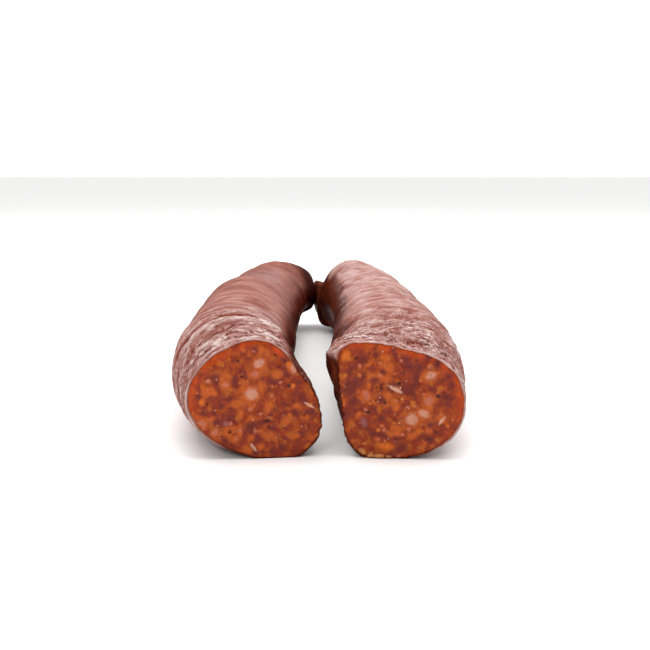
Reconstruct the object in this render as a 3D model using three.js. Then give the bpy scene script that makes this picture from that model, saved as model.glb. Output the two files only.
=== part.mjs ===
// A pair of cured sausage links in one natural casing. The casing is twisted shut between the links, so the
// two lie side by side like a horseshoe: both front ends are cut across, and the twisted neck is at the back.
// Millimetres, +Z up. The origin is on the surface it rests on, below the middle of its footprint.

import * as THREE from 'three';
import { ParametricGeometry } from 'three/addons/geometries/ParametricGeometry.js';
import { mergeVertices } from 'three/addons/utils/BufferGeometryUtils.js';

// Driving dimensions.
const CASING_WALL = 0.6;
const FILLING_GAP = 0.35;
const SETTLE = 0.8; // how far the soft underside is pressed flat by its own weight
const NECK_RADIUS = 4.8;
const NECK_HEIGHT = 17;
const POCKET_END = 6; // solid gathered casing between the twist and the end of each pocket
const FILLING_END_GAP = 1.2; // between the end of a pocket and the rounded end of its filling
const END_ROUNDNESS = 2.2; // exponent of the links' rounded ends: 2 is an ellipse, more is blunter
const CUT_TURN_LENGTH = 30; // stretch of link over which the angle of its cut fades out

// How finely the surfaces are divided.
const SIDES = 30;
const BODY_STEPS = 26;
const BODY_STEP_GROWTH = 1.7; // above 1, the steps are closer together near the cut
const END_STEPS = 10;

// The middle line of each link in plan, from its cut face to the twist, and the twist itself, measured from
// the line through the two cut faces.
const LEFT_PLAN = [[-19.2, 0], [-27.1, 30], [-31, 70], [-31.4, 115], [-29.5, 165], [-28, 205], [-21, 224]];
const RIGHT_PLAN = [[20.1, 0], [22.2, 30], [22.4, 70], [22.5, 115], [21.7, 165], [18.5, 208], [9.5, 228]];
const NECK_PLAN = [-6, 234.5];
const FOOTPRINT_MIDDLE = [-4.1, 122.2];

// Each link's radius at stations along its length (0 is the cut, 1 the twist), the length of its rounded end,
// the angle of its cut, and the swells that make its section other than round. A swell adds share * radius
// along `waves` directions, the first at `angle` degrees: 0 points away from the other link, 90 up. Behind
// each cut the drying link bulges towards the other one: `reach` and `spread` are half the bulge's length
// and angle.
const STATIONS = [0, 0.12, 0.3, 0.5, 0.7, 1];
const LINKS = {
  left: {
    towardsNeck: 1,
    radii: [17.1, 19.2, 17.8, 19, 18, 17.3],
    endLength: 30,
    cutAngle: 8,
    cutBlend: 18,
    cutSwells: [
      { waves: 2, share: 0.109, angle: 33 },
      { waves: 3, share: 0.056, angle: -18 },
      { waves: 4, share: 0.014, angle: 23 },
    ],
    bodySwells: [],
    bulge: { fromCut: 8, reach: 9, angle: 150, spread: 50, height: 1.2 },
  },
  right: {
    towardsNeck: -1,
    radii: [17.2, 18.7, 18.8, 17.9, 17.6, 17.8],
    endLength: 31,
    cutAngle: -2.5,
    cutBlend: 15,
    cutSwells: [
      { waves: 2, share: 0.042, angle: -18 },
      { waves: 3, share: 0.079, angle: 4 },
      { waves: 4, share: 0.039, angle: -42 },
    ],
    bodySwells: [
      { waves: 2, share: 0.04, angle: 5 },
      { waves: 3, share: 0.02, angle: 25 },
    ],
    bulge: { fromCut: 9.5, reach: 10.5, angle: 151, spread: 50, height: 3 },
  },
};

// A layer is a surface made of rings: how far it lies inside the outer skin, and how far its end stays from
// the twist. The outer skin runs into the neck instead of closing.
const LAYERS = {
  skin: { inset: 0, end: 0, tipRadius: NECK_RADIUS },
  pocket: { inset: CASING_WALL, end: POCKET_END, tipRadius: 0 },
  filling: { inset: CASING_WALL + FILLING_GAP, end: POCKET_END + FILLING_END_GAP, tipRadius: 0 },
};

const { clamp, degToRad, lerp, smoothstep } = THREE.MathUtils;

// One smooth line runs up the left link, through the twist, and down the right link.
const spine = new THREE.CatmullRomCurve3(
  [...LEFT_PLAN, NECK_PLAN, ...RIGHT_PLAN.toReversed()].map(([x, y]) => new THREE.Vector3(x, y, 0)),
  false,
  'catmullrom',
  0.5,
);
spine.arcLengthDivisions = 2000;
const spineLengths = spine.getLengths();
const spineLength = spineLengths.at(-1);
const neckDistance = spineLengths[spine.arcLengthDivisions / 2];
LINKS.left.length = neckDistance;
LINKS.right.length = spineLength - neckDistance;

// The full radius of a link, eased from station to station.
function fullRadius(link, fromCut) {
  const along = fromCut / link.length;
  const next = Math.max(1, STATIONS.findIndex((station) => station >= along - 1e-9));
  const eased = smoothstep(along, STATIONS[next - 1], STATIONS[next]);
  return lerp(link.radii[next - 1], link.radii[next], eased);
}

// A superellipse quarter: 0 at the tip of a rounded end, 1 from the end's full length on.
function endProfile(share) {
  return (1 - (1 - clamp(share, 0, 1)) ** END_ROUNDNESS) ** (1 / END_ROUNDNESS);
}

// A smooth hump: 1 at offset 0, falling to 0 at the offset `reach` on either side.
function hump(offset, reach) {
  return 0.5 * (1 + Math.cos(Math.PI * Math.min(1, Math.abs(offset) / reach)));
}

// The height of a link's bulge at one place on its skin.
function bulgeHeight({ bulge }, fromCut, angle) {
  const along = hump(fromCut - bulge.fromCut, bulge.reach);
  const around = hump(angle - degToRad(bulge.angle), degToRad(bulge.spread));
  return bulge.height * along * around;
}

// The radius of a layer's ring in the direction `angle`, from 0 to a full turn.
function ringRadius(link, layer, fromCut, angle) {
  const fromNeck = link.length - fromCut;
  const round = endProfile((fromNeck - layer.end) / (link.endLength - layer.end));
  const radius = layer.tipRadius + (fullRadius(link, fromCut) - layer.inset - layer.tipRadius) * round;
  const atCut = 1 - smoothstep(fromCut, 0, link.cutBlend);
  const sum = (swells) =>
    swells.reduce((total, s) => total + s.share * Math.cos(s.waves * (angle - degToRad(s.angle))), 0);
  const swell = atCut * sum(link.cutSwells) + (1 - atCut) * sum(link.bodySwells);
  return radius * (1 + swell * outOfTwist(link, fromCut)) + bulgeHeight(link, fromCut, angle);
}

// 0 at the twist, 1 clear of it.
function outOfTwist(link, fromCut) {
  return smoothstep(link.length - fromCut, 0, 1.2 * link.endLength);
}

// The height of a ring's middle: it rests on its flattened underside, and rises to the neck's height at the
// twist.
function ringHeight(link, fromCut) {
  let lowest = 0;
  for (let i = 0; i < 4 * SIDES; i += 1) {
    const angle = (i / (4 * SIDES)) * 2 * Math.PI;
    lowest = Math.min(lowest, ringRadius(link, LAYERS.skin, fromCut, angle) * Math.sin(angle));
  }
  const resting = -lowest - SETTLE;
  return Math.max(resting, lerp(NECK_HEIGHT, resting, outOfTwist(link, fromCut)));
}

// The point of a layer at the distance `fromCut` along a link, in the direction `angle`. `fill` shrinks the
// ring towards its middle, for the flat cut faces.
function surfacePoint({ link, layer, fromCut, fill = 1 }, angle, target) {
  const distance = link.towardsNeck > 0 ? fromCut : spineLength - fromCut;
  const along = clamp(distance / spineLength, 0, 1);
  const middle = spine.getPointAt(along);
  const tangent = spine.getTangentAt(along);
  const radius = fill * ringRadius(link, layer, fromCut, angle);
  const outward = radius * Math.cos(angle);
  const turn = Math.tan(degToRad(link.cutAngle)) * (1 - smoothstep(fromCut, 0, CUT_TURN_LENGTH));
  const forward = outward * turn * link.towardsNeck;
  const height = ringHeight(link, fromCut) + radius * Math.sin(angle);
  target.set(
    middle.x - outward * tangent.y + forward * tangent.x,
    middle.y + outward * tangent.x + forward * tangent.y,
    Math.max(height, layer.inset),
  );
}

// The rings of one layer of one link, from its cut to its end, closer together near the cut and on the
// rounded end.
function ringsOf(link, layer) {
  const endStart = link.length - link.endLength;
  const endLength = link.endLength - layer.end;
  const body = Array.from({ length: BODY_STEPS }, (_, i) => (i / BODY_STEPS) ** BODY_STEP_GROWTH * endStart);
  const end = Array.from({ length: END_STEPS + 1 }, (_, i) => {
    return endStart + endLength * Math.sin((i / END_STEPS) * (Math.PI / 2));
  });
  return [...body, ...end].map((fromCut) => ({ link, layer, fromCut }));
}

// A closed body skinned over a row of rings. Rings that shrink to a point, and the seam, are merged.
function closedBody(rings) {
  const skin = new ParametricGeometry(
    (u, v, target) => surfacePoint(rings[Math.round(v * (rings.length - 1))], 2 * Math.PI * (u % 1), target),
    SIDES,
    rings.length - 1,
  );
  skin.deleteAttribute('normal');
  skin.deleteAttribute('uv');
  const merged = mergeVertices(skin, 1e-3);
  const index = merged.getIndex().array;
  const kept = [];
  for (let i = 0; i < index.length; i += 3) {
    const [a, b, c] = index.slice(i, i + 3);
    if (a !== b && b !== c && c !== a) kept.push(a, b, c);
  }
  merged.setIndex(kept);
  merged.computeVertexNormals();
  return merged;
}

// The casing: one shell for both links, from the floor of the left pocket, over the left rim, along the
// outside and through the twist, to the right rim and the floor of the right pocket.
function casingGeometry() {
  const { left, right } = LINKS;
  return closedBody([
    ...ringsOf(left, LAYERS.pocket).toReversed(),
    ...ringsOf(left, LAYERS.skin),
    ...ringsOf(right, LAYERS.skin).toReversed().slice(1),
    ...ringsOf(right, LAYERS.pocket),
  ]);
}

// A filling: the flat cut face from its middle outwards, then the body to its rounded end.
function fillingGeometry(link) {
  const faceMiddle = { link, layer: LAYERS.filling, fromCut: 0, fill: 0 };
  const rings = [faceMiddle, ...ringsOf(link, LAYERS.filling)];
  return closedBody(link.towardsNeck > 0 ? rings : rings.toReversed());
}

const casingMaterial = new THREE.MeshStandardMaterial({ color: 0x9a6058, roughness: 0.7, metalness: 0 });
const fillingMaterial = new THREE.MeshStandardMaterial({ color: 0x98482b, roughness: 0.45, metalness: 0 });

const casing = new THREE.Mesh(casingGeometry(), casingMaterial);
casing.name = 'casing';

const fillingLeft = new THREE.Mesh(fillingGeometry(LINKS.left), fillingMaterial);
fillingLeft.name = 'filling_left';

const fillingRight = new THREE.Mesh(fillingGeometry(LINKS.right), fillingMaterial);
fillingRight.name = 'filling_right';

const sausage = new THREE.Group();
sausage.add(casing, fillingLeft, fillingRight);
sausage.position.set(-FOOTPRINT_MIDDLE[0], -FOOTPRINT_MIDDLE[1], 0);

export default sausage;
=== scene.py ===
"""The looks of a pair of cured sausage links in one natural casing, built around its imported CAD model.

Lengths are in millimetres until a mesh is made, and in the row frame: +Y runs along the links from their cut ends
to the twist that joins them, +Z is up, and the origin is on the surface below the middle of the pair.
"""

import itertools
import logging
import math
from collections.abc import Callable, Mapping, Sequence
from dataclasses import dataclass
from enum import Enum
from functools import partial

import bpy
import numpy as np
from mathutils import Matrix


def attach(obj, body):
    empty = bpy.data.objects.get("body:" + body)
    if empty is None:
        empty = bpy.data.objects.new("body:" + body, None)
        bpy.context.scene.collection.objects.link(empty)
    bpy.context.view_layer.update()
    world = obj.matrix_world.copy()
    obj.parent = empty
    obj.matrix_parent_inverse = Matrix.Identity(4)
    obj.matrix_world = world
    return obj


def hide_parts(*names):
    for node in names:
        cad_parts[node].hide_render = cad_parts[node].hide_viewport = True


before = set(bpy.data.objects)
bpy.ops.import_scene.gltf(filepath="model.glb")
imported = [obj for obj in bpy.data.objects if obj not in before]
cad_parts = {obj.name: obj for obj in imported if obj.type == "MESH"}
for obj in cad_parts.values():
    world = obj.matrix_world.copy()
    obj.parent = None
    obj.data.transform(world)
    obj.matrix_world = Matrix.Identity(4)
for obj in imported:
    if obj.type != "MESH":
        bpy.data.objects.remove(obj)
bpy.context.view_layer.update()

LOG = logging.getLogger("cured_sausage")
METRES = 0.001
FULL_TURN = 2.0 * math.pi

# The form that both the casing and the fillings follow, as the CAD model has it.
FOOTPRINT_MIDDLE = (-4.1, 122.2)
LEFT_PLAN = ((-19.2, 0), (-27.1, 30), (-31, 70), (-31.4, 115), (-29.5, 165), (-28, 205), (-21, 224))
RIGHT_PLAN = ((20.1, 0), (22.2, 30), (22.4, 70), (22.5, 115), (21.7, 165), (18.5, 208), (9.5, 228))
NECK_PLAN = (-6, 234.5)
NECK_RADIUS = 4.8
NECK_HEIGHT = 17.0
SETTLE = 0.8
END_ROUNDNESS = 2.2
CUT_TURN_LENGTH = 30.0
STATIONS = (0, 0.12, 0.3, 0.5, 0.7, 1)  # shares of a link's length
DUSTING_STATIONS = (0, 60, 150)  # mm behind the cut
MEAN_RADIUS = 17.0

Array = np.ndarray
Colour = tuple[float, float, float, float]
Rows = tuple[Array, dict[str, Array]]  # ring points, and a named value at each of them


def linear(code: str) -> Colour:
    """Turns an sRGB hex colour, such as "#aa3311", into linear red, green, blue and alpha.

    Args:
        code: The colour as a hash sign and six hex digits.

    Returns:
        The linear colour with an alpha of 1.
    """
    channels = [int(code[i : i + 2], 16) / 255 for i in (1, 3, 5)]
    red, green, blue = (c / 12.92 if c <= 0.04045 else ((c + 0.055) / 1.055) ** 2.4 for c in channels)
    return red, green, blue, 1.0


def smoothstep(value: Array, low: float, high: float) -> Array:
    """0 up to low, 1 from high on, and 3t^2 - 2t^3 between, where t is the share of the way."""
    share = np.clip((value - low) / (high - low), 0, 1)
    return share * share * (3 - 2 * share)


def blend(first: Array, second: Array, share: Array) -> Array:
    """The first value where share is 0, the second where it is 1, and a straight mix between."""
    return first + (second - first) * share


def hump(offset: Array, reach: float) -> Array:
    """Half a raised cosine: 1 at offset 0, falling to 0 at plus and minus reach."""
    return 0.5 * (1 + np.cos(np.pi * np.minimum(1, np.abs(offset) / reach)))


def turned_from(angle: Array, degrees: float) -> Array:
    """How far an angle in radians is from one in degrees, between minus and plus half a turn."""
    return np.mod(angle - math.radians(degrees) + np.pi, FULL_TURN) - np.pi


def gradient_noise(points: Array, seed: int) -> Array:
    """Smooth noise between about -1 and 1 that changes over one unit of length.

    Each corner of a unit lattice has a random direction. A point's value is the mix of the eight dot products of
    its offsets from the corners with their directions, weighted by 6t^5 - 15t^4 + 10t^3 along each axis.

    Args:
        points: The places, with x, y and z in the last axis.
        seed: The number that the random directions are drawn from.

    Returns:
        The noise, with the shape of points without its last axis.
    """
    rng = np.random.default_rng(seed)
    order = np.tile(rng.permutation(256), 3)
    directions = rng.normal(size=(256, 3))
    directions /= np.linalg.norm(directions, axis=1, keepdims=True)
    cell = np.floor(points).astype(int)
    offset = points - cell
    weight = offset**3 * (offset * (offset * 6 - 15) + 10)
    total = np.zeros(points.shape[:-1])
    for corner in itertools.product((0, 1), repeat=3):
        x, y, z = ((cell[..., axis] + corner[axis]) % 256 for axis in range(3))
        direction = directions[order[order[order[x] + y] + z]]
        dot = ((offset - corner) * direction).sum(-1)
        share = np.prod(np.where(np.array(corner) == 1, weight, 1 - weight), axis=-1)
        total += share * dot
    return total * 1.6


class Side(Enum):
    """Which link, with the sign of the spine's travel along it: up the left link and back down the right one."""

    LEFT = 1
    RIGHT = -1


class Tissue(Enum):
    """What a grain in the filling is: its colour, its height above the cut in mm, and how much of it is core."""

    CREAM_FAT = ("#c4856e", 0.16, 0.58)
    PINK_FAT = ("#b9664c", 0.12, 0.6)
    ORANGE_FAT = ("#b9551a", 0.08, 0.3)
    BRIGHT_FAT = ("#c9641c", 0.12, 0.5)
    MEAT = ("#73261b", -0.06, 0.3)
    MAUVE_MEAT = ("#93504a", 0.05, 0.5)
    SINEW = ("#c9957c", 0.2, 0.65)
    PEPPER = ("#33170f", 0.05, 0.6)
    # Painted shade: a pit's dark colour stands for the shade inside it.
    PIT = ("#54160d", -0.45, 0.5)
    CRUMB = ("#b87840", 0.9, 0.7)
    # Painted highlights: pale specks that stand for the small wet glints on the cut.
    PAINTED_GLINT = ("#e2bb98", 0.12, 0.4)


@dataclass(frozen=True)
class Swell:
    """A wave round a section: its share of the radius, in so many directions, the first at an angle in degrees."""

    waves: int
    share: float
    angle: float


@dataclass(frozen=True)
class Bulge:
    """A soft lump on a link's skin, or a hollow where its height is negative.

    It is centred `from_cut` mm behind the cut at `angle` degrees. `reach` is half its length in mm, and `spread`
    half its angle in degrees.
    """

    from_cut: float
    reach: float
    angle: float
    spread: float
    height: float


@dataclass(frozen=True)
class Wrinkles:
    """A field of creases in the dried casing.

    The size of a crease is `along` the link by `around` it, in mm. It is `height` mm high at the cut and
    `far_height` beyond `fade` mm. `sharpness` above 1 makes narrow crests between wide hollows, or, where the
    heights are negative, narrow furrows between wide crests.
    """

    along: float
    around: float
    height: float
    far_height: float
    fade: float
    sharpness: float
    seed: int


@dataclass(frozen=True)
class Grain:
    """A piece in the filling's cut: its place from the link's middle, right and up, its size, and its tilt."""

    tissue: Tissue
    right: float
    up: float
    length: float
    width: float
    tilt: float = 0.0


@dataclass(frozen=True)
class TornFold:
    """The fold that the knife tore up: a ridge that runs back from the cut and slants round the link.

    `angle` is where its edge is at the cut, in degrees, and `slant` how it turns, in degrees per mm. `spread` is
    in degrees, and the lengths are in mm. `hollow` is how deep the skin is below the edge, as a share of its
    height, and `crest` how much bloom the ridge takes.
    """

    angle: float = 144.0
    slant: float = 0.75
    spread: float = 7.0
    length: float = 11.0
    forward: float = 0.5
    outward: float = 1.2
    hollow: float = 0.6
    crest: float = 0.95

    def past(self, from_cut: Array, angle: Array) -> Array:
        """How far round the link a point is beyond the ridge's edge, in radians."""
        return turned_from(angle, self.angle) - math.radians(self.slant) * from_cut

    def height(self, from_cut: Array, angle: Array) -> Array:
        """1 on the ridge, negative in the hollow below its edge, and 0 clear of both."""
        spread, past = math.radians(self.spread), self.past(from_cut, angle)
        ridge = smoothstep(past, -2 * spread, 0) * (1 - smoothstep(past, 0, 0.6 * spread))
        ridge = ridge - self.hollow * hump(past - 1.3 * spread, spread)
        return ridge * (1 - smoothstep(from_cut, 0.6 * self.length, self.length))

    def shelter_shade(self, bloom: Array, from_cut: Array, angle: Array) -> Array:
        """The bloom with the ridge's upper side covered, and the side below its edge bare and dark: painted shadow
        under the ridge.
        """
        past = self.past(from_cut, angle)
        above = 1 - smoothstep(past, math.radians(-1), math.radians(2.5))
        near = 1 - smoothstep(from_cut, self.length, 2.2 * self.length)
        bloom = np.maximum(bloom, near * above * (np.sin(angle) > 0))
        below = 1 - smoothstep(past, math.radians(80), math.radians(110))
        return bloom * (1 - near * (1 - above) * below)


@dataclass(frozen=True)
class LinkForm:
    """The sizes of one link: radii at STATIONS, its rounded end, its cut, its section's swells and its creases.

    `dusting` is added to the creases' crests at DUSTING_STATIONS, so bloom covers more or less of them there, and
    `thinning` is the share of the bloom that is missing far back. `shelter_shade` takes bloom off the inner side beside
    the cut, and `open_back` adds it on the inner side farther back. `fold` is 1 where the deep fold crosses the
    link, or 0. `stretch` is the crinkle's scale round the link.
    """

    side: Side
    radii: tuple[float, ...]
    end_length: float
    cut_angle: float
    cut_blend: float
    cut_swells: tuple[Swell, ...]
    body_swells: tuple[Swell, ...]
    bulges: tuple[Bulge, ...]
    wrinkles: tuple[Wrinkles, ...]
    dusting: tuple[float, float, float]
    thinning: float
    # Painted shade: the bloom taken off the inner side beside the cut leaves it dark, as the shade there.
    shelter_shade: float
    open_back: float
    fold: float
    stretch: float
    torn_fold: TornFold | None
    seed: int


LEFT_FORM = LinkForm(
    side=Side.LEFT,
    radii=(17.1, 19.2, 17.8, 19, 18, 17.3),
    end_length=30,
    cut_angle=8,
    cut_blend=18,
    cut_swells=(Swell(2, 0.109, 33), Swell(3, 0.056, -18), Swell(4, 0.014, 23)),
    body_swells=(),
    bulges=(
        Bulge(0, 8, 100, 50, 0.9),
        Bulge(20, 15, 158, 34, -2.0),
        Bulge(5, 9, 164, 24, 0.9),
        Bulge(38, 24, 178, 60, -0.9),
        Bulge(75, 35, 40, 60, 0.8),
        Bulge(90, 30, 178, 60, 2.4),
        Bulge(226, 28, 88, 75, 3.4),
        Bulge(212, 24, 240, 65, -3.2),
        Bulge(234, 21, 240, 88, -9.5),
    ),
    wrinkles=(
        Wrinkles(along=2.6, around=11, height=-0.6, far_height=-0.12, fade=50, sharpness=2.6, seed=11),
        Wrinkles(along=4.6, around=14, height=0.3, far_height=0.34, fade=60, sharpness=1.5, seed=12),
        Wrinkles(along=1.3, around=3.6, height=0.3, far_height=0.06, fade=50, sharpness=1.4, seed=13),
    ),
    dusting=(0.08, -0.16, -0.34),
    thinning=0.5,
    shelter_shade=0.55,
    open_back=0.4,
    fold=1.0,
    stretch=0.55,
    torn_fold=None,
    seed=100,
)
RIGHT_FORM = LinkForm(
    side=Side.RIGHT,
    radii=(17.2, 18.7, 18.8, 17.9, 17.6, 17.8),
    end_length=31,
    cut_angle=-2.5,
    cut_blend=15,
    cut_swells=(Swell(2, 0.042, -18), Swell(3, 0.079, 4), Swell(4, 0.039, -42)),
    body_swells=(Swell(2, 0.04, 5), Swell(3, 0.02, 25)),
    bulges=(
        Bulge(11.5, 12, 145, 38, 5.2),
        Bulge(0, 9, 135, 22, 2.0),
        Bulge(50, 35, 30, 60, 0.35),
        Bulge(48, 35, 165, 60, 1.2),
        Bulge(208, 24, 115, 60, 4.2),
        Bulge(214, 16, 218, 45, 1.6),
        Bulge(241, 14, 216, 56, 4.4),
        Bulge(240, 15, 80, 105, -12.0),
    ),
    wrinkles=(
        Wrinkles(along=2.4, around=6.0, height=-0.6, far_height=-0.12, fade=80, sharpness=2.6, seed=21),
        Wrinkles(along=4.8, around=8.0, height=0.38, far_height=0.36, fade=80, sharpness=1.5, seed=22),
        Wrinkles(along=1.3, around=2.8, height=0.3, far_height=0.06, fade=70, sharpness=1.4, seed=23),
    ),
    dusting=(0.08, -0.14, 0.08),
    thinning=0.0,
    shelter_shade=0.0,
    open_back=0.0,
    fold=0.0,
    stretch=1.0,
    torn_fold=TornFold(),
    seed=200,
)


class Spine:
    """The middle line of the pair in plan, a uniform Catmull-Rom curve measured by its length."""

    def __init__(self, points: Sequence[tuple[float, float]], neck_index: int, samples: int = 6000) -> None:
        """Samples the curve.

        Args:
            points: The plan points, from the left cut through the twist to the right cut.
            neck_index: Which of them is the twist.
            samples: How many stretches the curve is measured by.
        """
        middle = np.array(points, dtype=float) - FOOTPRINT_MIDDLE
        stretches = len(middle) - 1
        ends = 2 * middle[[0, -1]] - middle[[1, -2]]
        padded = np.vstack([ends[:1], middle, ends[1:]])
        travel = np.linspace(0, stretches, samples + 1)
        first = np.minimum(travel.astype(int), stretches - 1)
        t = (travel - first)[:, None]
        a, b, c, d = (padded[first + i] for i in range(4))
        square, cube = 2 * a - 5 * b + 4 * c - d, 3 * b - a - 3 * c + d
        self.points = 0.5 * (2 * b + (c - a) * t + square * t**2 + cube * t**3)
        steps = np.linalg.norm(np.diff(self.points, axis=0), axis=1)
        self.distances = np.concatenate([[0], np.cumsum(steps)])
        tangents = np.gradient(self.points, axis=0)
        self.tangents = tangents / np.linalg.norm(tangents, axis=1, keepdims=True)
        self.length = float(self.distances[-1])
        self.neck_distance = float(np.interp(neck_index, travel, self.distances))

    def at(self, distance: Array) -> tuple[Array, Array]:
        """The line's points and unit directions at these distances, each with x and y in the last axis."""

        def pick(table: Array) -> Array:
            """The table's rows, read at the distances."""
            return np.stack([np.interp(distance, self.distances, table[:, i]) for i in (0, 1)], -1)

        tangent = pick(self.tangents)
        return pick(self.points), tangent / np.linalg.norm(tangent, axis=-1, keepdims=True)


SPINE = Spine([*LEFT_PLAN, NECK_PLAN, *RIGHT_PLAN[::-1]], neck_index=len(LEFT_PLAN))


class LinkSurface:
    """One link as rings round the spine, each a function of the distance from the cut and of an angle.

    Angle 0 points away from the other link, and a quarter turn is up. Distances are columns and angles are rows,
    so every method works on the whole grid at once.
    """

    def __init__(self, form: LinkForm) -> None:
        """Keeps the form and works out the link's length from the spine."""
        self.form = form
        left = form.side is Side.LEFT
        self.length = SPINE.neck_distance if left else SPINE.length - SPINE.neck_distance

    def full_radius(self, from_cut: Array) -> Array:
        """The link's radius, eased from station to station by a smoothstep."""
        along = from_cut / self.length
        radii = self.form.radii
        radius = np.full_like(along, radii[0])
        for (low, high), (first, second) in zip(itertools.pairwise(STATIONS), itertools.pairwise(radii)):
            radius = radius + (second - first) * smoothstep(along, low, high)
        return radius

    def out_of_twist(self, from_cut: Array) -> Array:
        """0 at the twist, rising to 1 clear of it."""
        return smoothstep(self.length - from_cut, 0, 1.2 * self.form.end_length)

    def ring_radius(self, from_cut: Array, angle: Array, inset: float = 0, end: float = 0) -> Array:
        """The smooth radius of the skin, or of a layer inside it.

        The full radius less the inset is multiplied by a quarter superellipse over the rounded end, then by one
        plus the section's cosine waves, and the bulges are added, fading out with the rounded end. The skin (end
        0) runs into the neck, and an inner layer closes `end` mm before the twist.
        """
        form = self.form
        tip = NECK_RADIUS if end == 0 else 0.0
        share = np.clip((self.length - from_cut - end) / (form.end_length - end), 0, 1)
        rounded = (1 - (1 - share) ** END_ROUNDNESS) ** (1 / END_ROUNDNESS)
        radius = tip + (self.full_radius(from_cut) - inset - tip) * rounded
        at_cut = 1 - smoothstep(from_cut, 0, form.cut_blend)

        def wave(swells: Sequence[Swell]) -> Array | float:
            """The sum of the swells round the ring."""
            return sum(s.share * np.cos(s.waves * (angle - math.radians(s.angle))) for s in swells)

        swell = at_cut * wave(form.cut_swells) + (1 - at_cut) * wave(form.body_swells)
        radius = radius * (1 + swell * self.out_of_twist(from_cut))
        for lump in form.bulges:
            around = hump(turned_from(angle, lump.angle), math.radians(lump.spread))
            radius = radius + lump.height * rounded * hump(from_cut - lump.from_cut, lump.reach) * around
        return radius

    def ring_height(self, from_cut: Array) -> Array:
        """The height of each ring's middle: on its flattened underside, rising to the neck at the twist."""
        angle = np.linspace(0, FULL_TURN, 120, endpoint=False)[None, :]
        lowest = (self.ring_radius(from_cut, angle) * np.sin(angle)).min(axis=1, keepdims=True)
        resting = -lowest - SETTLE
        return np.maximum(resting, blend(NECK_HEIGHT, resting, self.out_of_twist(from_cut)))

    def place(
        self,
        from_cut: Array,
        angle: Array,
        radius: Array,
        forward: Array | float = 0.0,
        clear: Array | float = 0.0,
    ) -> Array:
        """Puts ring points in the row frame.

        A point is the spine's point, plus radius times the cosine of the angle outwards and radius times its sine
        upwards. Near the cut it is moved along the spine in step with its outward offset, which turns the cut by
        its angle. `forward` moves it out of the cut. Nothing goes lower than `clear` above the floor.
        """
        sign = self.form.side.value
        distance = from_cut if sign > 0 else SPINE.length - from_cut
        middle, tangent = SPINE.at(np.clip(distance[:, 0], 0, SPINE.length))
        outward = radius * np.cos(angle)
        turn = math.tan(math.radians(self.form.cut_angle)) * (1 - smoothstep(from_cut, 0, CUT_TURN_LENGTH))
        ahead = sign * (outward * turn - forward)
        x = middle[:, :1] - outward * tangent[:, 1:] + ahead * tangent[:, :1]
        y = middle[:, 1:] + outward * tangent[:, :1] + ahead * tangent[:, 1:]
        z = np.maximum(self.ring_height(from_cut) + radius * np.sin(angle), clear)
        return np.stack(np.broadcast_arrays(x, y, z), axis=-1)

    def skin_coordinates(self, from_cut: Array, angle: Array) -> Array:
        """A round bar's coordinates in mm, for patterns that follow the casing: round it in x and y, along in z."""
        z = from_cut * self.form.side.value + 0 * angle
        x = MEAN_RADIUS * np.cos(angle) + 0 * from_cut
        y = MEAN_RADIUS * np.sin(angle) + 0 * from_cut
        return np.stack([x, y, z], axis=-1)


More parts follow.
